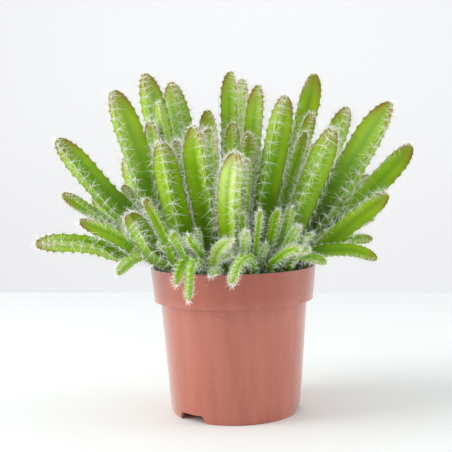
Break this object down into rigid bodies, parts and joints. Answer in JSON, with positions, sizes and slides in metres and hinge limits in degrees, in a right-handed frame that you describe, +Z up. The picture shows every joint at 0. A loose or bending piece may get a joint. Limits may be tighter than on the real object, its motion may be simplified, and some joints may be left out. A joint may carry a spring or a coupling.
{
  "type": "potted dragon fruit plant",
  "caption": "Bushy potted dragon fruit cactus: crowded ribbed green stems with fine white spines, fanning out of a round terracotta-coloured plastic nursery pot.",
  "frame": {"origin": "centre of the pot's foot, on the surface that the pot stands on", "axes": "+Z up along the pot's axis; -Y is the front of the plant, +X to its right, along its widest spread"},
  "size_m": [0.2702, 0.1722, 0.251],
  "materials": {
    "pot_plastic": "satin moulded polypropylene, terracotta coloured",
    "potting_soil": "rough dark peat-based potting soil",
    "stem_skin": "smooth waxy green cactus skin with brownish rib edges",
    "shoot_skin": "soft young pale green cactus skin",
    "spines": "fine white hair-like spines"
  },
  "bodies": {
    "root": {"stem_left_1": "stem_skin", "stem_left_2": "stem_skin", "stem_left_3": "stem_skin", "stem_left_4": "stem_skin", "stem_left_5": "stem_skin", "stem_left_6": "stem_skin", "stem_front_left_1": "stem_skin", "stem_front_left_2": "stem_skin", "stem_front_left_3": "stem_skin", "stem_front_left_4": "stem_skin", "stem_front_1": "stem_skin", "stem_front_2": "stem_skin", "stem_front_3": "stem_skin", "stem_front_4": "stem_skin", "stem_front_5": "stem_skin", "stem_back_left_1": "stem_skin", "stem_back_left_2": "stem_skin", "stem_back_left_3": "stem_skin", "stem_back_left_4": "stem_skin", "stem_back_left_5": "stem_skin", "stem_back_left_6": "stem_skin", "stem_back_1": "stem_skin", "stem_back_2": "stem_skin", "stem_back_3": "stem_skin", "stem_back_4": "stem_skin", "stem_back_5": "stem_skin", "stem_back_6": "stem_skin", "stem_back_7": "stem_skin", "stem_back_8": "stem_skin", "stem_back_right_1": "stem_skin", "stem_back_right_2": "stem_skin", "stem_back_right_3": "stem_skin", "stem_back_right_4": "stem_skin", "stem_back_right_5": "stem_skin", "stem_right_1": "stem_skin", "stem_right_2": "stem_skin", "stem_right_3": "stem_skin", "stem_right_4": "stem_skin", "stem_right_5": "stem_skin", "stem_right_6": "stem_skin", "stem_right_7": "stem_skin", "stem_right_8": "stem_skin", "stem_right_9": "stem_skin", "stem_right_10": "stem_skin", "stem_right_11": "stem_skin", "shoot_front_1": "shoot_skin", "shoot_front_2": "shoot_skin", "shoot_front_3": "shoot_skin", "shoot_front_4": "shoot_skin", "shoot_front_5": "shoot_skin", "shoot_front_6": "shoot_skin", "shoot_front_7": "shoot_skin", "shoot_front_8": "shoot_skin", "shoot_rim_1": "shoot_skin", "shoot_rim_2": "shoot_skin", "shoot_rim_3": "shoot_skin", "shoot_rim_4": "shoot_skin", "shoot_rim_5": "shoot_skin", "pot": "pot_plastic", "soil": "potting_soil"}
  },
  "joints": []
}
